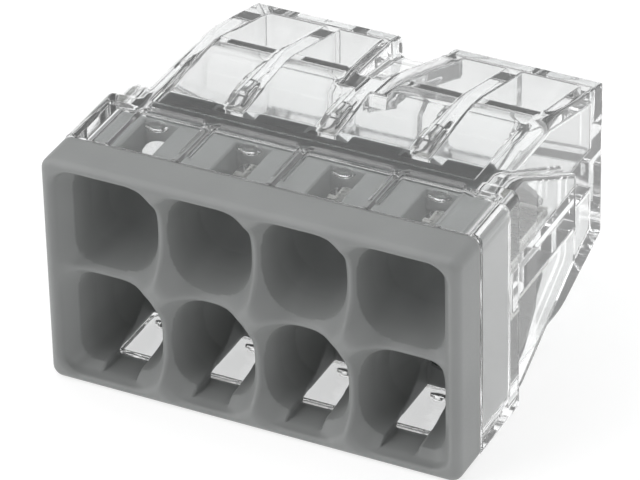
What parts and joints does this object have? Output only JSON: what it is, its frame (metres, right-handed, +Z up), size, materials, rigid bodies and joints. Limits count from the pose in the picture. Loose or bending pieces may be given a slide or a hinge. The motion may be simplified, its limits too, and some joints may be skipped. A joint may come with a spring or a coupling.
{
  "type": "push-in splicing connector",
  "caption": "Flat block that joins solid wires pushed into two rows of funnels; clear housing, grey funnel insert, sprung clamping legs on a shared busbar.",
  "frame": {"origin": "bottom centre of the connector's bounding box, on the surface it rests on", "axes": "+X along the rows of funnels, +Y the way the conductors are pushed in, so the funnels face -Y, +Z up from the lower row to the upper row"},
  "size_m": [0.0182, 0.0168, 0.0103],
  "materials": {
    "insert_grey": "fine moulded matte",
    "housing_clear": "clear, polished",
    "busbar_tin": "tin plate on copper, dull bright",
    "spring_steel": "cold-rolled spring steel, semi-bright"
  },
  "bodies": {
    "connector": {"front_insert": "insert_grey", "clear_housing": "housing_clear", "busbar": "busbar_tin", "upper_spring_strip": "spring_steel", "lower_spring_strip": "spring_steel"},
    "upper_leg_1": {"upper_clamp_leg_1": "spring_steel"},
    "upper_leg_2": {"upper_clamp_leg_2": "spring_steel"},
    "upper_leg_3": {"upper_clamp_leg_3": "spring_steel"},
    "upper_leg_4": {"upper_clamp_leg_4": "spring_steel"},
    "lower_leg_1": {"lower_clamp_leg_1": "spring_steel"},
    "lower_leg_2": {"lower_clamp_leg_2": "spring_steel"},
    "lower_leg_3": {"lower_clamp_leg_3": "spring_steel"},
    "lower_leg_4": {"lower_clamp_leg_4": "spring_steel"}
  },
  "joints": [
    {"name": "upper_leg_1_flex", "type": "hinge", "parent": "connector", "child": "upper_leg_1", "pos_m": [-0.00617, -0.00037, 0.00899], "axis": [1, 0, 0], "range_deg": [0, 36], "stiffness_Nm_per_rad": 0.05},
    {"name": "upper_leg_2_flex", "type": "hinge", "parent": "connector", "child": "upper_leg_2", "pos_m": [-0.00205, -0.00037, 0.00899], "axis": [1, 0, 0], "range_deg": [0, 36], "stiffness_Nm_per_rad": 0.05},
    {"name": "upper_leg_3_flex", "type": "hinge", "parent": "connector", "child": "upper_leg_3", "pos_m": [0.00205, -0.00037, 0.00899], "axis": [1, 0, 0], "range_deg": [0, 36], "stiffness_Nm_per_rad": 0.05},
    {"name": "upper_leg_4_flex", "type": "hinge", "parent": "connector", "child": "upper_leg_4", "pos_m": [0.00617, -0.00037, 0.00899], "axis": [1, 0, 0], "range_deg": [0, 36], "stiffness_Nm_per_rad": 0.05},
    {"name": "lower_leg_1_flex", "type": "hinge", "parent": "connector", "child": "lower_leg_1", "pos_m": [-0.00617, -0.00037, 0.00131], "axis": [-1, 0, 0], "range_deg": [0, 36], "stiffness_Nm_per_rad": 0.05},
    {"name": "lower_leg_2_flex", "type": "hinge", "parent": "connector", "child": "lower_leg_2", "pos_m": [-0.00205, -0.00037, 0.00131], "axis": [-1, 0, 0], "range_deg": [0, 36], "stiffness_Nm_per_rad": 0.05},
    {"name": "lower_leg_3_flex", "type": "hinge", "parent": "connector", "child": "lower_leg_3", "pos_m": [0.00205, -0.00037, 0.00131], "axis": [-1, 0, 0], "range_deg": [0, 36], "stiffness_Nm_per_rad": 0.05},
    {"name": "lower_leg_4_flex", "type": "hinge", "parent": "connector", "child": "lower_leg_4", "pos_m": [0.00617, -0.00037, 0.00131], "axis": [-1, 0, 0], "range_deg": [0, 36], "stiffness_Nm_per_rad": 0.05}
  ]
}
